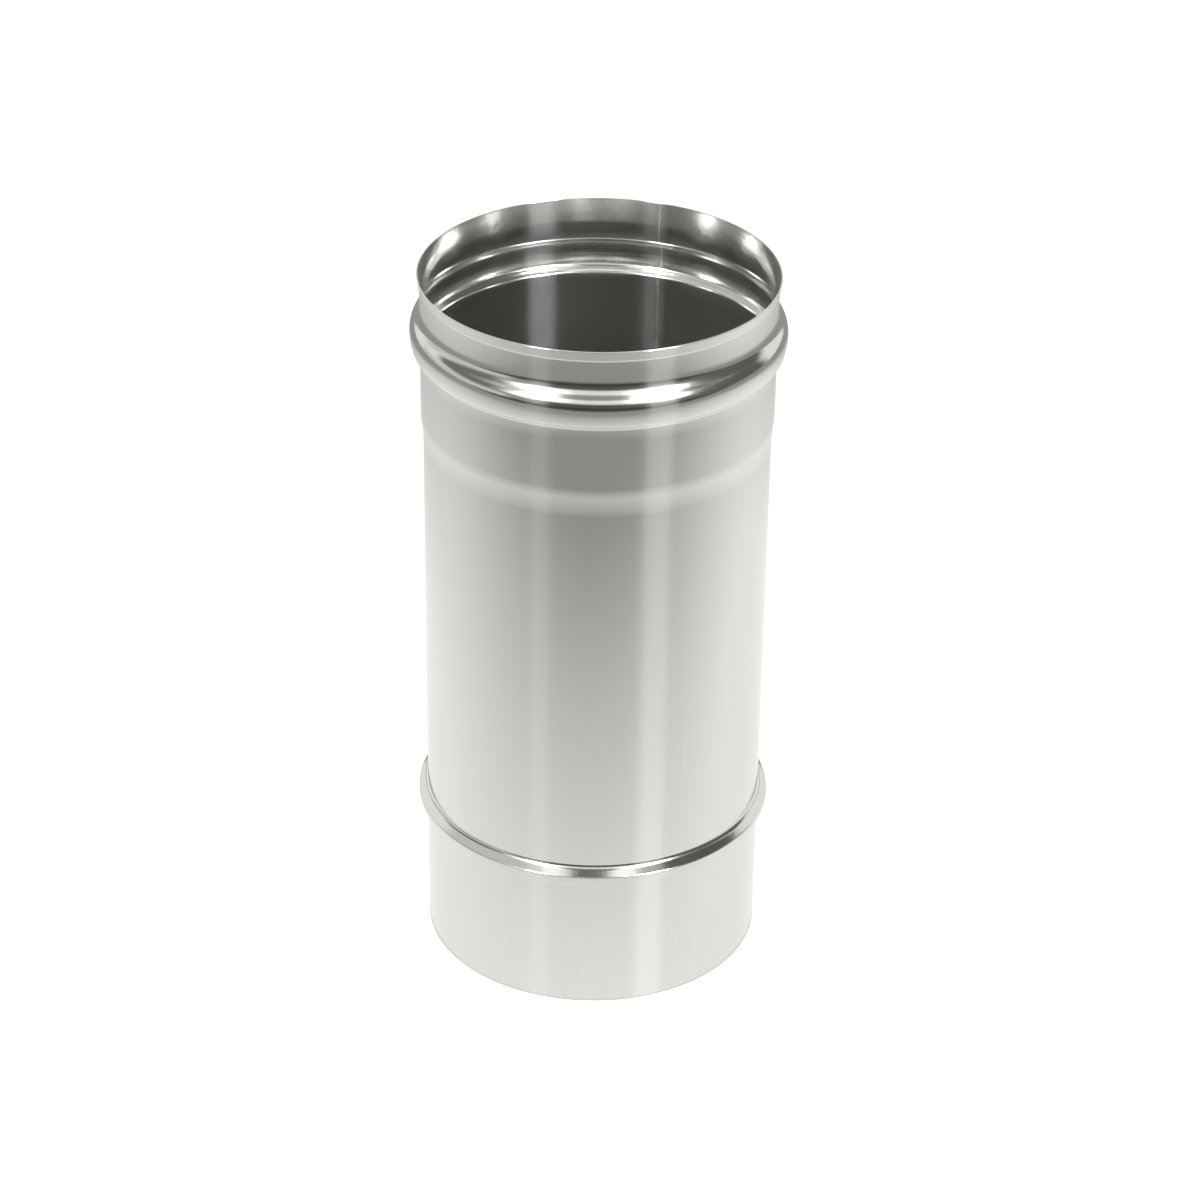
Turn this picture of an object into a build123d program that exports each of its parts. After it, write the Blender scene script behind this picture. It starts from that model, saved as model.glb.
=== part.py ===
from build123d import *
from math import atan2, cos, radians, sin, tan
import os

# Chimney pipe section: one rolled and seam-welded stainless sheet with a plain spigot
# at the bottom and a socket at the top. The axis is +Z and the spigot edge is at Z = 0.
# Millimetres. Heights are measured from the spigot edge unless the name says otherwise.

# Sheet and pipe
BORE = 115.0
WALL = 0.5
TOTAL_LENGTH = 250.0

# Folds at the beads' feet, the taper's ends and the lip's crease, sharp as rolled
FOLD_RADIUS = 0.0

# Spigot, the plain end that enters the next pipe's socket
SPIGOT_LENGTH = 48.7

# Stop bead, the rib that limits how far the spigot goes in
STOP_HEIGHT = 3.1
STOP_CROWN_WIDTH = 1.4
STOP_FLANK_ANGLE = 48.0
STOP_SHOULDER_RADIUS = 0.8

# Socket, the widened end that takes the next pipe's spigot
SOCKET_CLEARANCE = 0.3
SOCKET_END_GAP = 1.0
TAPER_LENGTH = 8.0

# Gasket bead, the rib whose inner groove holds the sealing ring. Its upper flank is a long
# gentle S, its crown leans in a little towards the bottom and its lower flank folds in sharply.
GASKET_TOP_FROM_MOUTH = 13.0
GASKET_WIDTH = 15.0
GASKET_HEIGHT = 3.5
GASKET_UPPER_ANGLE = 43.0
GASKET_CROWN_ANGLE = 4.0
GASKET_LOWER_ANGLE = 47.0
GASKET_UPPER_RADIUS = 6.4
GASKET_SHOULDER_RADIUS = 3.0

# Lip, the short flare that leads the spigot into the mouth
LIP_LENGTH = 3.1
LIP_FLARE = 1.0

# Radii and heights that follow from the sizes above
pipe_radius = BORE / 2 + WALL
socket_radius = pipe_radius + SOCKET_CLEARANCE + WALL
mouth = TOTAL_LENGTH - WALL * sin(atan2(LIP_FLARE, LIP_LENGTH))
crease = mouth - LIP_LENGTH
gasket_top = TOTAL_LENGTH - GASKET_TOP_FROM_MOUTH
gasket_bottom = gasket_top - GASKET_WIDTH
taper_top = TOTAL_LENGTH - SPIGOT_LENGTH - SOCKET_END_GAP
taper_bottom = taper_top - TAPER_LENGTH


def stop_bead():
    """Give the stop bead's four corners, and the radius of each."""
    crown = pipe_radius + STOP_HEIGHT
    flank_run = STOP_HEIGHT / tan(radians(STOP_FLANK_ANGLE))
    crown_bottom = SPIGOT_LENGTH + flank_run
    crown_top = crown_bottom + STOP_CROWN_WIDTH
    return [
        ((pipe_radius, SPIGOT_LENGTH), FOLD_RADIUS),
        ((crown, crown_bottom), STOP_SHOULDER_RADIUS),
        ((crown, crown_top), STOP_SHOULDER_RADIUS),
        ((pipe_radius, crown_top + flank_run), FOLD_RADIUS),
    ]


def gasket_bead():
    """Give the gasket bead's four corners, and the radius of each."""
    upper = radians(GASKET_UPPER_ANGLE)
    crown = radians(GASKET_CROWN_ANGLE)
    lower = radians(GASKET_LOWER_ANGLE)
    # The arc over the upper corner trims it down to the bead's height
    trimmed = GASKET_UPPER_RADIUS * ((cos(upper) + cos(crown)) / (1 + cos(upper + crown)) - 1)
    upper_rise = GASKET_HEIGHT + trimmed
    upper_height = gasket_top - upper_rise / tan(upper)
    # The crown and the lower flank meet where their two lines cross
    reach = upper_height - gasket_bottom
    lower_rise = (upper_rise - reach * tan(crown)) / (1 - tan(crown) / tan(lower))
    return [
        ((socket_radius, gasket_bottom), FOLD_RADIUS),
        ((socket_radius + lower_rise, gasket_bottom + lower_rise / tan(lower)), GASKET_SHOULDER_RADIUS),
        ((socket_radius + upper_rise, upper_height), GASKET_UPPER_RADIUS),
        ((socket_radius, gasket_top), GASKET_UPPER_RADIUS),
    ]


def inner_skin(points, radii):
    """Set the outer skin in by the wall, with each rounded corner about the same centre."""
    runs = [(end - start).normalized() for start, end in zip(points, points[1:])]
    inner_points = []
    inner_radii = []
    for point, radius, before, after in zip(points, radii, runs[:1] + runs, runs + runs[-1:]):
        inward = before.rotate(Axis.Z, 90) + after.rotate(Axis.Z, 90)
        inner_points.append(point + inward * WALL / (1 + before.dot(after)))
        # Where the sheet turns inward, the inner skin takes the tighter bend
        thinner = WALL if before.cross(after).Z > 0 else -WALL
        inner_radii.append(max(0, radius - thinner) if radius else 0)
    return inner_points, inner_radii


def sheet_profile():
    """Draw the section of the sheet: its outer skin, then its inner skin a wall's thickness in."""
    corners = [
        *stop_bead(),
        ((pipe_radius, taper_bottom), FOLD_RADIUS),
        ((socket_radius, taper_top), FOLD_RADIUS),
        *gasket_bead(),
        ((socket_radius, crease), FOLD_RADIUS),
    ]
    spigot_edge = (pipe_radius, 0)
    rim = (socket_radius + LIP_FLARE, mouth)
    skin = [(spigot_edge, 0), *corners, (rim, 0)]
    points = [Vector(*point) for point, _ in skin]
    radii = [radius for _, radius in skin]
    inner_points, inner_radii = inner_skin(points, radii)
    with BuildSketch(Plane.XZ) as section:
        with BuildLine():
            outer = FilletPolyline(*points, radius=radii[1:-1])
            inner = FilletPolyline(*inner_points, radius=inner_radii[1:-1])
            Line(outer @ 0, inner @ 0)
            Line(outer @ 1, inner @ 1)
        make_face()
    return section.sketch


pipe = revolve(sheet_profile(), Axis.Z)

os.makedirs("parts", exist_ok=True)
export_step(pipe, "parts/pipe.step")
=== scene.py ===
from math import acos, atan2, ceil, cos, pi, radians, sin, tan

import bpy
from mathutils import Matrix, Vector


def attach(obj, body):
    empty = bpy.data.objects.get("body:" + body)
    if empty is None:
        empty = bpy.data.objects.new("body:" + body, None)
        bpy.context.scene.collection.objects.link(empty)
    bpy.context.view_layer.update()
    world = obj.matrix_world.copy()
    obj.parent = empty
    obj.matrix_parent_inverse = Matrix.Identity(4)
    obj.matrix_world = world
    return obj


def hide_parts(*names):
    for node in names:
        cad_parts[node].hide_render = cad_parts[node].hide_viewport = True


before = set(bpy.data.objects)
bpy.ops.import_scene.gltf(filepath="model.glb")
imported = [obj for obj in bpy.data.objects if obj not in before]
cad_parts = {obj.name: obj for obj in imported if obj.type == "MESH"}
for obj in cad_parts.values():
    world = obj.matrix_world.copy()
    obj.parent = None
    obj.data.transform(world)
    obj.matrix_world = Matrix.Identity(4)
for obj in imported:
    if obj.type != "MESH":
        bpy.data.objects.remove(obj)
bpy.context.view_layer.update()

# A short stainless chimney pipe on a white studio floor, seen from above its socket.
# Sizes are millimetres until mm() turns them to metres. The pipe's axis is +Z, it stands
# on Z = 0, and the camera looks along +Y from in front of it.

# Sheet and pipe, as in the part
BORE = 115.0
WALL = 0.5
TOTAL_LENGTH = 250.0
SPIGOT_LENGTH = 48.7
SOCKET_CLEARANCE = 0.3

# Stop bead: its lower flank is one slope, its upper flank a crease and then a hollow curve
STOP_HEIGHT = 3.1
STOP_CROWN_WIDTH = 1.9
STOP_LOWER_LEAN = 48
STOP_UPPER_LEAN = 54
STOP_CREASE_LEAN = 20
STOP_HOLLOW_RADIUS = 2.6
STOP_FOOT_RADIUS = 1.2
STOP_SHOULDER_RADIUS = 0.6

# Taper between pipe and socket, an S that turns more gently at its foot
TAPER_TOP = 198.9
TAPER_LENGTH = 4.8
TAPER_TOP_RADIUS = 19.0
TAPER_FOOT_RADIUS = 38.0

# Gasket bead, from where it leaves the wall down: the lean that each bend ends at, outward
# as it goes down, the bend's radius, and the straight after it. The last lean meets the wall.
GASKET_TOP_FROM_MOUTH = 10.7
GASKET_BENDS = (
    (41, 7.3, 0), (20, 6.4, 0), (0, 7.5, 0), (-18, 15.8, 0), (-53, 2.2, 1.45), (-5, 1.4, 0),
)
GASKET_FOOT_RADIUS = 38.0

# Mouth: the sheet curves out gently above the gasket bead, and at the lip it is creased out
# by a small rolled step
FLARE_FROM_MOUTH = 7.0
FLARE_LEAN = 4.8
FLARE_RADIUS = 70.0
LIP_LENGTH = 3.7
LIP_STEP_OUT = 0.2
LIP_STEP_UP = 0.45
LIP_FLARE = 1.0

# Inside, the gasket groove's lower flank lies a little flatter, with its upper corner this
# much lower, and ends in a tighter fold
GROOVE_CORNER_DROP = 0.14
GROOVE_FOLD_RADIUS = 0.9

# Inside the mouth the sheet opens as one plain cone
MOUTH_CONE_LEAN = 6.2
MOUTH_CONE_RADIUS = 26.0

# Small radii where the part is left sharp
FOLD_RADIUS = 0.4
STEP_RADIUS = 0.15
EDGE_RADIUS = 0.12

pipe_radius = BORE / 2 + WALL
socket_radius = pipe_radius + SOCKET_CLEARANCE + WALL

# How finely the sheet is drawn
STEPS_ROUND = 288
ARC_STEP = radians(6)
ROW_SPACING = 7.0
SUPPORT_ROW = 0.25

# Points this near count as one, and a corner with a smaller turn than this as none
SAME_POINT = 0.02
STRAIGHT = 1e-9

# How far the rolled sheet strays from a true round, always inward
FLAT_DEPTH = 0.05
FLAT_WIDTH = 22.0
FLAT_LENGTH = 260.0
FLAT_SEED = 7.0

# The weld that closes the sheet, inside and out, a little right of the back, and the share of
# its width that stands at full height
WELD_ANGLE = radians(70)
WELD_WIDTH = 1.1
WELD_CORE = 0.4

# Finish: how often each pattern repeats in a metre, where three numbers are X, Y and Z
GRAIN_PER_METRE = (2000, 2000, 25)
PATCHES_PER_METRE = 33.0
RIPPLES_PER_METRE = 900.0
ROLL_LINES_PER_METRE = (330, 330, 9)
STEEL_DARKEST = "#DEDEDC"
STEEL_LIGHTEST = "#E4E4E2"

# Roughness of the plain sheet, and what grain, patches and weld add to it
PLAIN_ROUGHNESS = 0.07
GRAIN_ROUGHNESS = 0.06
PATCH_ROUGHNESS = 0.06
WELD_ROUGHNESS = 0.12

# Relief: how high each pattern stands, and how much of that the light picks up
WELD_HEIGHT = 0.04
WELD_RELIEF = 0.3
WELD_RIPPLE = 0.25
ROLL_LINE_HEIGHT = 0.05
ROLL_LINE_RELIEF = 0.4
GRAIN_HEIGHT = 0.02
GRAIN_RELIEF = 0.005

# The share of the light that rolling marks smear along the pipe
SMEAR_SHARE = 0.03
SMEAR_ROUGHNESS = 0.31
SMEAR_STRETCH = 0.79

# Floor, in millimetres where it isn't a tone: white for the camera, and for the steel a painted
# light, a glow that falls off round a bright spot, with painted shade inside the pipe and in
# front
FLOOR_SIZE = 12000.0
FLOOR_MATT = "#E8E8E8"
FLOOR_GLOW = 0.6
PAINTED_LIGHT_TINT = "#FEFFFB"
# Painted pool of light in the floor's glow, as the steel shows it
SPOT_PLACE = (60, 100)
SPOT_WIDENED = 1.71
SPOT_RADIUS = 150.0
PAINTED_SPOT_TONE = 0.76
FALL_RADIUS = 510.0
PAINTED_FALLOFF_TONE = 0.25
# Painted shade in the floor's glow inside the pipe's foot
INSIDE_RADIUS = 56.0
PAINTED_INSIDE_SHADE = 0.1
OUTSIDE_RADIUS = 59.0
# Painted shade in the floor's glow well in front
FRONT_START = -600.0
FRONT_END = -1000.0
PAINTED_FRONT_SHADE = 0.12

# How much of the studio's light the steel gives back, so that tones can be set as it shows them
STEEL_RETURN = 0.76

# Studio as the steel shows it, by bearing right of the camera's side and height, in degrees:
# bearing, half width, height, half height, soft edge, colour, each patch over the last
STUDIO_TONE = "#80817C"
ALL_ROUND = 180
BEHIND = 180
STUDIO_PATCHES = (
    (23, 53, -5, 22, 8, "#45453F"),
    (0, ALL_ROUND, 75, 20, 14, "#70716C"),
    (BEHIND, 85, 0, 60, 30, "#DADBD6"),
    (0, 60, 30, 11, 6, "#D6D7D2"),
    (-36, 18, 30, 11, 6, "#FFFFFB"),
    (36, 18, 30, 11, 6, "#FFFFFB"),
    (0, 21, 68, 11, 6, "#555650"),
    (-95, 40, 58, 22, 6, "#B8B9B4"),
    (95, 40, 58, 22, 6, "#4D4E49"),
    (-41, 15, 58, 15, 6, "#FFFFFB"),
    (38, 15, 60, 19, 6, "#FFFFFB"),
    (-90, 36, -6, 17, 8, "#BDBEB9"),
    (-90, 22, 24, 8, 8, "#63645F"),
    (85, 30, 5, 26, 10, "#53544F"),
    (0, ALL_ROUND, 90, 11, 4, "#F4F5F0"),
)

# Strip lamps: metres from the mouth, degrees up and metres from end to end
LAMP_AWAY = 1.6
LAMP_HEIGHT = 29
LAMP_TALL = 0.4

# Camera, fitted to the pipe's outlines in the photograph
FRAME_PIXELS = 1200
FOCAL_PIXELS = 3633.8
CAMERA_DISTANCE = 1077.55
CAMERA_HEIGHT = 748.53
CAMERA_PITCH = radians(29.989)
CAMERA_YAW = radians(0.087)
CAMERA_ROLL = radians(0.811)
SENSOR_WIDTH = 36.0


def mm(value):
    """Turn millimetres to Blender's metres."""
    return value / 1000


def linear(hex_colour):
    """Turn an sRGB hex colour to the linear RGBA that a shader socket takes."""
    channels = [int(hex_colour[i:i + 2], 16) / 255 for i in (1, 3, 5)]
    curved = [c / 12.92 if c <= 0.04045 else ((c + 0.055) / 1.055) ** 2.4 for c in channels]
    return (*curved, 1.0)


def add(tree, kind, settings=None, **inputs):
    """Add a node with its settings, and a value or a link for each input.

    An input goes by its name, with _ for a space, or as i and its number.
    """
    node = tree.nodes.new(kind)
    for name, value in (settings or {}).items():
        setattr(node, name, value)
    for name, value in inputs.items():
        index = int(name[1:]) if name[0] == "i" and name[1:].isdigit() else name.replace("_", " ")
        socket = node.inputs[index]
        if isinstance(value, bpy.types.NodeSocket):
            tree.links.new(value, socket)
        else:
            socket.default_value = value
    return node


# The sheet's outline

def stop_bead():
    """Give the stop bead's five corners, and the radius of each, from the bottom up."""
    crown = pipe_radius + STOP_HEIGHT
    crown_bottom = SPIGOT_LENGTH + STOP_HEIGHT / tan(radians(STOP_LOWER_LEAN))
    shoulder = Vector((crown, crown_bottom + STOP_CROWN_WIDTH))
    # The hollow's corner lies where the crease's lean from the wall meets the upper flank
    hollow_reach = STOP_HOLLOW_RADIUS * tan(radians(STOP_UPPER_LEAN - STOP_CREASE_LEAN) / 2)
    hollow_rise = (hollow_reach + FOLD_RADIUS) * sin(radians(STOP_CREASE_LEAN))
    flank_rise = STOP_HEIGHT - hollow_rise
    flank = downward(STOP_UPPER_LEAN) * flank_rise / sin(radians(STOP_UPPER_LEAN))
    hollow = shoulder - flank
    crease = Vector((pipe_radius, hollow.y + hollow_rise / tan(radians(STOP_CREASE_LEAN))))
    return [
        (Vector((pipe_radius, SPIGOT_LENGTH)), STOP_FOOT_RADIUS),
        (Vector((crown, crown_bottom)), STOP_SHOULDER_RADIUS),
        (shoulder, STOP_SHOULDER_RADIUS),
        (hollow, STOP_HOLLOW_RADIUS),
        (crease, FOLD_RADIUS),
    ]


def gasket_bead():
    """Walk down the gasket bead bend by bend, and give its corners from the bottom up."""
    point = Vector((socket_radius, TOTAL_LENGTH - GASKET_TOP_FROM_MOUTH))
    lean = 0
    corners = []
    for next_lean, radius, straight in GASKET_BENDS:
        reach = radius * tan(abs(radians(next_lean - lean)) / 2)
        corner = point + downward(lean) * reach
        corners.append((corner, radius))
        point = corner + downward(next_lean) * (reach + straight)
        lean = next_lean
    drop = (point.x - socket_radius) / tan(radians(-lean))
    corners.append((Vector((socket_radius, point.y - drop)), GASKET_FOOT_RADIUS))
    return corners[::-1]


def downward(lean):
    """Give the way down the section for a lean in degrees, outward being more than 0."""
    return Vector((sin(radians(lean)), -cos(radians(lean))))


def outer_skin():
    """Give the corners up the outside of the sheet, from spigot edge to rim."""
    crease = TOTAL_LENGTH - LIP_LENGTH
    flared = (FLARE_FROM_MOUTH - LIP_LENGTH) * tan(radians(FLARE_LEAN))
    slope = atan2(LIP_FLARE - flared - LIP_STEP_OUT, LIP_LENGTH - LIP_STEP_UP)
    mouth = TOTAL_LENGTH - WALL * sin(slope)
    step = Vector((socket_radius + flared + LIP_STEP_OUT, crease + LIP_STEP_UP))
    return [
        (Vector((pipe_radius, 0)), EDGE_RADIUS),
        *stop_bead(),
        (Vector((pipe_radius, TAPER_TOP - TAPER_LENGTH)), TAPER_FOOT_RADIUS),
        (Vector((socket_radius, TAPER_TOP)), TAPER_TOP_RADIUS),
        *gasket_bead(),
        (Vector((socket_radius, TOTAL_LENGTH - FLARE_FROM_MOUTH)), FLARE_RADIUS),
        (Vector((socket_radius + flared, crease)), STEP_RADIUS),
        (step, WALL + STEP_RADIUS),
        (Vector((socket_radius + LIP_FLARE, mouth)), EDGE_RADIUS),
    ]


def inner_skin(outer):
    """Set the outer skin's corners in by the wall, with its arcs about the same centres."""
    points = [point for point, _ in outer]
    runs = [(b - a).normalized() for a, b in zip(points, points[1:])]
    runs = [runs[0], *runs, runs[-1]]
    skin = []
    for (point, radius), before, after in zip(outer, runs, runs[1:]):
        inward = [Vector((-run.y, run.x)) for run in (before, after)]
        shift = (inward[0] + inward[1]) * WALL / (1 + inward[0].dot(inward[1]))
        turn = before.x * after.y - before.y * after.x
        if abs(turn) > STRAIGHT:
            radius -= WALL if turn > 0 else -WALL
        skin.append((point + shift, radius))
    # The groove's lower flank runs between the bead's second and third corners from below,
    # which are the tenth and ninth from the rim
    flank_foot, flank_top = skin[-10:-8]
    skin[-10:-8] = [
        (flank_foot[0], GROOVE_FOLD_RADIUS),
        (flank_top[0] - Vector((0, GROOVE_CORNER_DROP)), flank_top[1]),
    ]
    # The mouth's cone takes the place of the flare and the lip's crease
    rim = skin[-1]
    opening = rim[0].x - socket_radius + WALL
    cone_height = opening / tan(radians(MOUTH_CONE_LEAN))
    foot = Vector((socket_radius - WALL, rim[0].y - cone_height))
    return skin[:-4] + [(foot, MOUTH_CONE_RADIUS), rim]


def rows_between(start, end):
    """Divide a straight run, with a row close to each end to hold the shading flat."""
    length = (end - start).length
    if length < 3 * SUPPORT_ROW:
        return []
    count = ceil((length - 2 * SUPPORT_ROW) / ROW_SPACING)
    first = start.lerp(end, SUPPORT_ROW / length)
    last = start.lerp(end, 1 - SUPPORT_ROW / length)
    return [first.lerp(last, i / count) for i in range(count + 1)]


def rounded(corners):
    """Walk round a closed outline: an arc at each corner and rows along each run."""
    arcs = []
    for i, (point, radius) in enumerate(corners):
        back = (corners[i - 1][0] - point).normalized()
        ahead = (corners[(i + 1) % len(corners)][0] - point).normalized()
        turn = pi - acos(max(-1, min(1, back.dot(ahead))))
        centre = point + (back + ahead).normalized() * radius / cos(turn / 2)
        start = point + back * radius * tan(turn / 2) - centre
        side = 1 if back.x * ahead.y - back.y * ahead.x < 0 else -1
        count = max(2, ceil(turn / ARC_STEP))
        turns = [Matrix.Rotation(side * turn * k / count, 2) for k in range(count + 1)]
        arcs.append([centre + rotation @ start for rotation in turns])
    outline = []
    for arc, following in zip(arcs, arcs[1:] + arcs[:1]):
        joined = (following[0] - arc[-1]).length < SAME_POINT
        outline += arc[:-1] if joined else arc + rows_between(arc[-1], following[0])
    return outline


# The rolled pipe, swept round its axis

def lathe_tree():
    """Sweep an outline round the axis, then let the sheet wander inward as rolled sheet does."""
    tree = bpy.data.node_groups.new("rolled sheet pipe", "GeometryNodeTree")
    tree.is_modifier = True
    sockets = [
        ("Outline", "NodeSocketGeometry"),
        ("Steps Round", "NodeSocketInt"),
        ("Mean Radius", "NodeSocketFloat"),
        ("Flat Depth", "NodeSocketFloat"),
        ("Flat Width", "NodeSocketFloat"),
        ("Flat Length", "NodeSocketFloat"),
        ("Seed", "NodeSocketFloat"),
        ("Finish", "NodeSocketMaterial"),
    ]
    for name, kind in sockets:
        tree.interface.new_socket(name, in_out="INPUT", socket_type=kind)
    tree.interface.new_socket("Pipe", in_out="OUTPUT", socket_type="NodeSocketGeometry")
    given = tree.nodes.new("NodeGroupInput").outputs

    # The outline holds radius in X and height in -Y, which the sweep turns up to Z
    outline = add(tree, "GeometryNodeMeshToCurve", Mesh=given["Outline"])
    ring = add(tree, "GeometryNodeCurvePrimitiveCircle",
               Resolution=given["Steps Round"], Radius=given["Mean Radius"])
    swept = add(tree, "GeometryNodeCurveToMesh",
                Curve=ring.outputs["Curve"], Profile_Curve=outline.outputs["Curve"])

    # Flats from the rolls run the pipe's length, so the noise is long in Z
    place = add(tree, "GeometryNodeInputPosition").outputs["Position"]
    across = add(tree, "ShaderNodeMath", {"operation": "DIVIDE"}, i0=1.0, i1=given["Flat Width"])
    along = add(tree, "ShaderNodeMath", {"operation": "DIVIDE"}, i0=1.0, i1=given["Flat Length"])
    stretch = add(tree, "ShaderNodeCombineXYZ",
                  X=across.outputs[0], Y=across.outputs[0], Z=along.outputs[0])
    scaled = add(tree, "ShaderNodeVectorMath", {"operation": "MULTIPLY"},
                 i0=place, i1=stretch.outputs[0])
    wander = add(tree, "ShaderNodeTexNoise", {"noise_dimensions": "4D"},
                 Vector=scaled.outputs[0], W=given["Seed"], Scale=1.0, Detail=1.0)
    clamped = add(tree, "ShaderNodeClamp", Value=wander.outputs[0])
    depth = add(tree, "ShaderNodeMath", {"operation": "MULTIPLY"},
                i0=clamped.outputs[0], i1=given["Flat Depth"])
    level = add(tree, "ShaderNodeVectorMath", {"operation": "MULTIPLY"}, i0=place, i1=(1, 1, 0))
    outward = add(tree, "ShaderNodeVectorMath", {"operation": "NORMALIZE"}, i0=level.outputs[0])
    inward = add(tree, "ShaderNodeMath", {"operation": "MULTIPLY"}, i0=depth.outputs[0], i1=-1.0)
    shift = add(tree, "ShaderNodeVectorMath", {"operation": "SCALE"},
                i0=outward.outputs[0], Scale=inward.outputs[0])
    rolled = add(tree, "GeometryNodeSetPosition",
                 Geometry=swept.outputs["Mesh"], Offset=shift.outputs[0])

    smooth = add(tree, "GeometryNodeSetShadeSmooth", Geometry=rolled.outputs["Geometry"])
    real = add(tree, "GeometryNodeRealizeInstances", Geometry=smooth.outputs["Geometry"])
    finished = add(tree, "GeometryNodeSetMaterial",
                   Geometry=real.outputs["Geometry"], Material=given["Finish"])
    add(tree, "NodeGroupOutput", Pipe=finished.outputs["Geometry"])
    return tree


def outline_object(points, mean_radius):
    """Lay the outline flat as a closed loop of edges, with X measured from the mean radius."""
    mesh = bpy.data.meshes.new("sheet outline")
    count = len(points)
    vertices = [(mm(p.x - mean_radius), mm(-p.y), 0) for p in points]
    edges = [(i, (i + 1) % count) for i in range(count)]
    mesh.from_pydata(vertices, edges, [])
    holder = bpy.data.objects.new("sheet outline", mesh)
    bpy.context.scene.collection.objects.link(holder)
    return holder


def rolled_pipe(finish):
    """Make the pipe from one outline of its sheet, as a plain mesh."""
    outer = outer_skin()
    outline = rounded(outer + inner_skin(outer)[::-1])
    holder = outline_object(outline, pipe_radius)
    tree = lathe_tree()
    modifier = holder.modifiers.new("lathe", "NODES")
    modifier.node_group = tree
    values = {
        "Steps Round": STEPS_ROUND,
        "Mean Radius": mm(pipe_radius),
        "Flat Depth": mm(FLAT_DEPTH),
        "Flat Width": mm(FLAT_WIDTH),
        "Flat Length": mm(FLAT_LENGTH),
        "Seed": FLAT_SEED,
        "Finish": finish,
    }
    for item in tree.interface.items_tree:
        if item.in_out == "INPUT" and item.name in values:
            modifier[item.identifier] = values[item.name]
    seen = holder.evaluated_get(bpy.context.evaluated_depsgraph_get())
    mesh = bpy.data.meshes.new_from_object(seen)
    holder.modifiers.remove(modifier)
    bpy.data.objects.remove(holder)
    piece = bpy.data.objects.new("rolled_pipe", mesh)
    bpy.context.scene.collection.objects.link(piece)
    return piece


# Finish

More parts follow.
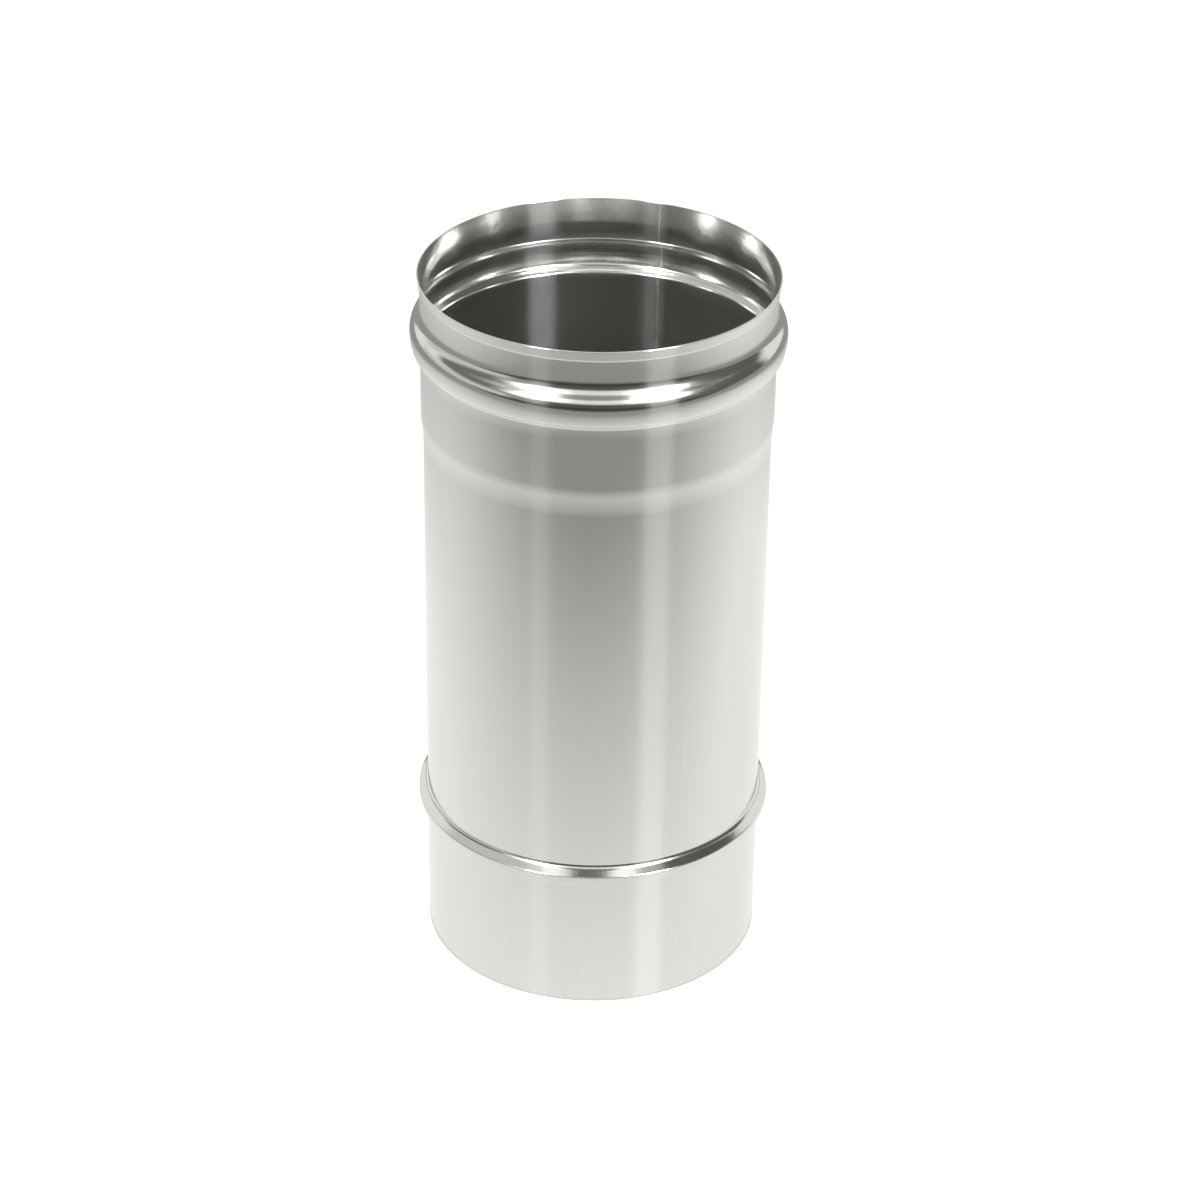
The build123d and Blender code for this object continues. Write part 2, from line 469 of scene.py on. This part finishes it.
def bright_stainless():
    """Bright annealed stainless sheet: nearly a mirror, warm grey, with a faint rolling grain."""
    material = bpy.data.materials.new("bright annealed stainless")
    material.use_nodes = True
    tree = material.node_tree
    tree.nodes.clear()
    place = add(tree, "ShaderNodeTexCoord").outputs["Object"]

    # Rolling grain: hairlines along the pipe, drawn coarser than the real ones, 0.5 mm apart,
    # so that they show
    grain_place = add(tree, "ShaderNodeMapping", Vector=place, Scale=GRAIN_PER_METRE)
    grain = add(tree, "ShaderNodeTexNoise", Vector=grain_place.outputs[0], Scale=1.0, Detail=3.0)
    # Handling: soft patches some 30 mm across where the sheet is a little duller
    patches = add(tree, "ShaderNodeTexNoise", Vector=place, Scale=PATCHES_PER_METRE, Detail=4.0)
    wear = add(tree, "ShaderNodeMath", {"operation": "MULTIPLY_ADD"},
               i0=grain.outputs[0], i1=GRAIN_ROUGHNESS, i2=PLAIN_ROUGHNESS)
    rough = add(tree, "ShaderNodeMath", {"operation": "MULTIPLY_ADD"},
                i0=patches.outputs[0], i1=PATCH_ROUGHNESS, i2=wear.outputs[0])
    tint = add(tree, "ShaderNodeMix", {"data_type": "RGBA"}, i0=grain.outputs[0],
               i6=linear(STEEL_DARKEST), i7=linear(STEEL_LIGHTEST))
    # Weld: a planished seam up the sheet, a hair proud, rippled and duller than the rest
    turned = add(tree, "ShaderNodeMapping", Vector=place, Rotation=(0, 0, -WELD_ANGLE))
    off_seam = add(tree, "ShaderNodeSeparateXYZ", Vector=turned.outputs[0]).outputs
    aside = add(tree, "ShaderNodeMath", {"operation": "ABSOLUTE"}, i0=off_seam["Y"])
    near = add(tree, "ShaderNodeMapRange", {"interpolation_type": "SMOOTHSTEP"},
               Value=aside.outputs[0], To_Min=1.0, To_Max=0.0,
               From_Min=mm(WELD_WIDTH * WELD_CORE / 2), From_Max=mm(WELD_WIDTH / 2))
    this_side = add(tree, "ShaderNodeMath", {"operation": "GREATER_THAN"},
                    i0=off_seam["X"], i1=0.0)
    weld = add(tree, "ShaderNodeMath", {"operation": "MULTIPLY"},
               i0=near.outputs[0], i1=this_side.outputs[0])
    ripple = add(tree, "ShaderNodeTexNoise", Vector=place, Scale=RIPPLES_PER_METRE, Detail=1.0)
    bead = add(tree, "ShaderNodeMath", {"operation": "MULTIPLY_ADD"},
               i0=ripple.outputs[0], i1=WELD_RIPPLE, i2=1 - WELD_RIPPLE)
    proud = add(tree, "ShaderNodeMath", {"operation": "MULTIPLY"},
                i0=weld.outputs[0], i1=bead.outputs[0])
    seam_relief = add(tree, "ShaderNodeBump", Strength=WELD_RELIEF, Distance=mm(WELD_HEIGHT),
                      Height=proud.outputs[0])
    # Roll lines: faint shallow waves 3 mm across that run the length of the sheet
    line_place = add(tree, "ShaderNodeMapping", Vector=place, Scale=ROLL_LINES_PER_METRE)
    lines = add(tree, "ShaderNodeTexNoise", Vector=line_place.outputs[0], Scale=1.0, Detail=2.0)
    waves = add(tree, "ShaderNodeBump", Strength=ROLL_LINE_RELIEF, Distance=mm(ROLL_LINE_HEIGHT),
                Height=lines.outputs[0], Normal=seam_relief.outputs[0])
    relief = add(tree, "ShaderNodeBump", Strength=GRAIN_RELIEF, Distance=mm(GRAIN_HEIGHT),
                 Height=grain.outputs[0], Normal=waves.outputs[0])
    dull = add(tree, "ShaderNodeMath", {"operation": "MULTIPLY_ADD"},
               i0=weld.outputs[0], i1=WELD_ROUGHNESS, i2=rough.outputs[0])
    steel = add(tree, "ShaderNodeBsdfPrincipled", Base_Color=tint.outputs[2], Metallic=1.0,
                Roughness=dull.outputs[0], Normal=relief.outputs[0])
    # A little of the light is smeared along the pipe by rolling marks that run round it
    around = add(tree, "ShaderNodeTangent", {"direction_type": "RADIAL", "axis": "Z"})
    smear = add(tree, "ShaderNodeBsdfAnisotropic", {"distribution": "GGX"},
                Color=tint.outputs[2], Roughness=SMEAR_ROUGHNESS, Anisotropy=SMEAR_STRETCH,
                Tangent=around.outputs[0], Normal=seam_relief.outputs[0])
    both = add(tree, "ShaderNodeMixShader",
               i0=SMEAR_SHARE, i1=steel.outputs[0], i2=smear.outputs[0])
    add(tree, "ShaderNodeOutputMaterial", Surface=both.outputs[0])
    return material


pipe = rolled_pipe(bright_stainless())
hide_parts("pipe")
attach(pipe, "root")


# Studio

def floor_finish():
    """White floor: plain with a shadow for the camera; for the steel, a glow of painted light and
    shade.
    """
    material = bpy.data.materials.new("matt white floor")
    material.use_nodes = True
    tree = material.node_tree
    tree.nodes.clear()
    place = add(tree, "ShaderNodeTexCoord").outputs["Object"]
    # Painted light: the floor's glow falls off in an oval round a spot behind the pipe, measured
    # in millimetres
    oval = add(tree, "ShaderNodeMapping", {"vector_type": "TEXTURE"}, Vector=place,
               Location=(mm(SPOT_PLACE[0]), mm(SPOT_PLACE[1]), 0),
               Scale=(mm(SPOT_WIDENED), mm(1), 1))
    reach = add(tree, "ShaderNodeVectorMath", {"operation": "LENGTH"}, i0=oval.outputs[0])
    painted_light_falloff = add(tree, "ShaderNodeMapRange", Value=reach.outputs["Value"],
               From_Min=SPOT_RADIUS, From_Max=FALL_RADIUS, To_Min=PAINTED_SPOT_TONE, To_Max=PAINTED_FALLOFF_TONE)
    # Painted shade: inside the pipe's foot the floor's glow is dimmed, as little light gets there
    away = add(tree, "ShaderNodeVectorMath", {"operation": "LENGTH"}, i0=place)
    inside = add(tree, "ShaderNodeMapRange", Value=away.outputs["Value"], To_Min=PAINTED_INSIDE_SHADE,
                 To_Max=1.0, From_Min=mm(INSIDE_RADIUS), From_Max=mm(OUTSIDE_RADIUS))
    shown = add(tree, "ShaderNodeMath", {"operation": "MULTIPLY"},
                i0=painted_light_falloff.outputs[0], i1=inside.outputs[0])
    # Painted shade: well in front the floor's glow dims into the dark end of the room
    where = add(tree, "ShaderNodeSeparateXYZ", Vector=place).outputs
    front = add(tree, "ShaderNodeMapRange", Value=where["Y"], To_Min=PAINTED_FRONT_SHADE, To_Max=1.0,
                From_Min=mm(FRONT_END), From_Max=mm(FRONT_START))
    shaded = add(tree, "ShaderNodeMath", {"operation": "MULTIPLY"},
                 i0=shown.outputs[0], i1=front.outputs[0])
    # Painted light: the steel sees the floor as this glow, not as the lamps light it
    glow = add(tree, "ShaderNodeMath", {"operation": "DIVIDE"},
               i0=shaded.outputs[0], i1=STEEL_RETURN)
    painted_floor_light = add(tree, "ShaderNodeEmission", Color=linear(PAINTED_LIGHT_TINT), Strength=glow.outputs[0])
    matt = add(tree, "ShaderNodeBsdfDiffuse", Color=linear(FLOOR_MATT))
    white = add(tree, "ShaderNodeEmission", Color=linear("#FFFFFF"), Strength=FLOOR_GLOW)
    plain = add(tree, "ShaderNodeAddShader", i0=matt.outputs[0], i1=white.outputs[0])
    path = add(tree, "ShaderNodeLightPath")
    chosen = add(tree, "ShaderNodeMixShader", i0=path.outputs["Is Camera Ray"],
                 i1=painted_floor_light.outputs[0], i2=plain.outputs[0])
    add(tree, "ShaderNodeOutputMaterial", Surface=chosen.outputs[0])
    return material


def floor():
    """Lay a flat square floor under the pipe."""
    mesh = bpy.data.meshes.new("studio floor")
    half = mm(FLOOR_SIZE) / 2
    corners = [(-half, -half, 0), (half, -half, 0), (half, half, 0), (-half, half, 0)]
    mesh.from_pydata(corners, [], [(0, 1, 2, 3)])
    mesh.materials.append(floor_finish())
    obj = bpy.data.objects.new("studio_floor", mesh)
    bpy.context.scene.collection.objects.link(obj)


def studio_world():
    """Set the studio round the pipe: a dark room in front, soft boxes above and white behind."""
    world = bpy.data.worlds.new("studio")
    bpy.context.scene.world = world
    world.use_nodes = True
    tree = world.node_tree
    tree.nodes.clear()
    way = add(tree, "ShaderNodeTexCoord").outputs["Generated"]
    axis = add(tree, "ShaderNodeSeparateXYZ", Vector=way).outputs
    lift = add(tree, "ShaderNodeMath", {"operation": "ARCSINE"}, i0=axis["Z"])
    raised = add(tree, "ShaderNodeMath", {"operation": "DEGREES"}, i0=lift.outputs[0])
    height = raised.outputs[0]
    front = add(tree, "ShaderNodeMath", {"operation": "MULTIPLY"}, i0=axis["Y"], i1=-1.0)
    swing = add(tree, "ShaderNodeMath", {"operation": "ARCTAN2"},
                i0=axis["X"], i1=front.outputs[0])
    turned = add(tree, "ShaderNodeMath", {"operation": "DEGREES"}, i0=swing.outputs[0])
    bearing = turned.outputs[0]

    def window(value, centre, half, edge):
        """Give 1 within half of centre, falling softly to 0 over the edge."""
        off = add(tree, "ShaderNodeMath", {"operation": "SUBTRACT"}, i0=value, i1=centre)
        gap = add(tree, "ShaderNodeMath", {"operation": "ABSOLUTE"}, i0=off.outputs[0])
        soft = add(tree, "ShaderNodeMapRange", {"interpolation_type": "SMOOTHSTEP"},
                   Value=gap.outputs[0], To_Min=1.0, To_Max=0.0,
                   From_Min=half - edge / 2, From_Max=half + edge / 2)
        return soft.outputs[0]

    # Right behind, bearings jump from 180 to -180, so that patch goes by how far round it is
    off_front = add(tree, "ShaderNodeMath", {"operation": "ABSOLUTE"}, i0=bearing).outputs[0]
    colour = add(tree, "ShaderNodeRGB").outputs[0]
    colour.default_value = linear(STUDIO_TONE)
    for across, half_across, up, half_up, edge, tone in STUDIO_PATCHES:
        sideways = window(off_front if across == BEHIND else bearing, across, half_across, edge)
        upward = window(height, up, half_up, edge)
        cover = add(tree, "ShaderNodeMath", {"operation": "MULTIPLY"}, i0=sideways, i1=upward)
        mixed = add(tree, "ShaderNodeMix", {"data_type": "RGBA"},
                    i0=cover.outputs[0], i6=colour, i7=linear(tone))
        colour = mixed.outputs[2]
    lit = add(tree, "ShaderNodeBackground", Color=colour, Strength=1 / STEEL_RETURN)
    white = add(tree, "ShaderNodeBackground", Color=linear("#FFFFFF"), Strength=1.0)
    path = add(tree, "ShaderNodeLightPath")
    chosen = add(tree, "ShaderNodeMixShader", i0=path.outputs["Is Camera Ray"],
                 i1=lit.outputs[0], i2=white.outputs[0])
    add(tree, "ShaderNodeOutputWorld", Surface=chosen.outputs[0])


def strip_lamp(name, bearing, width, brightness):
    """Hang a bright strip lamp so many degrees right of the camera's side, facing the mouth."""
    data = bpy.data.lights.new(name, "AREA")
    data.shape = "RECTANGLE"
    data.size = width
    data.size_y = LAMP_TALL
    data.energy = brightness * pi * width * LAMP_TALL
    obj = bpy.data.objects.new(name, data)
    side, lift = radians(bearing), radians(LAMP_HEIGHT)
    way = Vector((sin(side) * cos(lift), -cos(side) * cos(lift), sin(lift)))
    obj.location = Vector((0, 0, mm(TOTAL_LENGTH))) + way * LAMP_AWAY
    obj.rotation_euler = way.to_track_quat("Z", "Y").to_euler()
    obj.visible_camera = False
    obj.visible_diffuse = False
    bpy.context.scene.collection.objects.link(obj)


def camera():
    """Stand the camera where the photograph was taken from."""
    data = bpy.data.cameras.new("camera")
    data.sensor_width = SENSOR_WIDTH
    data.lens = FOCAL_PIXELS / FRAME_PIXELS * SENSOR_WIDTH
    data.clip_start = 0.01
    ahead = Vector((
        sin(CAMERA_YAW) * cos(CAMERA_PITCH),
        cos(CAMERA_YAW) * cos(CAMERA_PITCH),
        -sin(CAMERA_PITCH),
    ))
    level = Vector((cos(CAMERA_YAW), -sin(CAMERA_YAW), 0))
    upright = level.cross(ahead)
    right = cos(CAMERA_ROLL) * level + sin(CAMERA_ROLL) * upright
    up = -sin(CAMERA_ROLL) * level + cos(CAMERA_ROLL) * upright
    obj = bpy.data.objects.new("camera", data)
    turned = Matrix((right, up, -ahead)).transposed().to_4x4()
    stand = Matrix.Translation((0, mm(-CAMERA_DISTANCE), mm(CAMERA_HEIGHT)))
    obj.matrix_world = stand @ turned
    bpy.context.scene.collection.objects.link(obj)
    bpy.context.scene.camera = obj


floor()
studio_world()
strip_lamp("strip_lamp_left", bearing=-37, width=0.31, brightness=52)
strip_lamp("strip_lamp_right", bearing=40, width=0.44, brightness=115)
camera()
bpy.context.scene.view_settings.view_transform = "Standard"
# Enough bounces for light that goes from wall to wall inside the pipe
bpy.context.scene.cycles.glossy_bounces = 10
bpy.context.scene.cycles.max_bounces = 12
